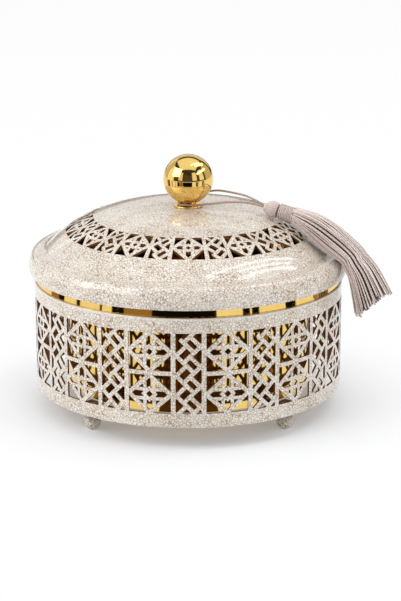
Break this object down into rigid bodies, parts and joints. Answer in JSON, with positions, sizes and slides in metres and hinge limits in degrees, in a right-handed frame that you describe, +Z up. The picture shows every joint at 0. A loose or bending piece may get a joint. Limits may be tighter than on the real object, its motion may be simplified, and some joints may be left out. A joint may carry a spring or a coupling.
{
  "type": "covered candy bowl",
  "caption": "Round covered candy bowl: pierced cream-painted shell on ball feet, lift-out gold liner, domed lift-off pierced lid with a ball knob and a tassel looped round its neck.",
  "frame": {"origin": "on the bowl's axis, at the table under the feet", "axes": "+Z up along the bowl's axis; the pictured front faces -Y and the tassel hangs towards +X"},
  "size_m": [0.2108, 0.1864, 0.1479],
  "materials": {
    "cream_crackle_paint": "glossy cream crackle over beige",
    "polished_gold": "mirror polished gold plate",
    "fastener_steel": "zinc-plated",
    "tassel_yarn": "twisted rayon yarn"
  },
  "bodies": {
    "stand": {"pierced_shell": "cream_crackle_paint", "support_ring": "cream_crackle_paint", "foot_tabs": "cream_crackle_paint", "foot_front_left": "cream_crackle_paint", "foot_front_right": "cream_crackle_paint", "foot_back_right": "cream_crackle_paint", "foot_back_left": "cream_crackle_paint", "foot_screws": "fastener_steel"},
    "liner": {"liner_wall": "polished_gold", "liner_base": "polished_gold", "liner_flange": "polished_gold", "liner_collar": "polished_gold"},
    "lid": {"lid_dome": "cream_crackle_paint", "lid_rim": "cream_crackle_paint", "lid_seat_ring": "polished_gold", "knob_base": "polished_gold", "knob_neck": "polished_gold", "knob_ball": "polished_gold", "knob_stud": "fastener_steel", "knob_washer": "fastener_steel", "knob_nut": "fastener_steel"},
    "tassel": {"tassel_cord": "tassel_yarn", "tassel_head": "tassel_yarn", "tassel_neck": "tassel_yarn", "tassel_binding": "tassel_yarn", "tassel_skirt": "tassel_yarn"}
  },
  "joints": [
    {"name": "liner_lift", "type": "slide", "parent": "stand", "child": "liner", "axis": [0, 0, 1], "range_m": [0, 0.07]},
    {"name": "lid_lift", "type": "slide", "parent": "liner", "child": "lid", "axis": [0, 0, 1], "range_m": [0, 0.1]},
    {"name": "tassel_swing", "type": "hinge", "parent": "lid", "child": "tassel", "pos_m": [0, 0, 0.1191], "axis": [0, 0, 1], "continuous": true}
  ]
}
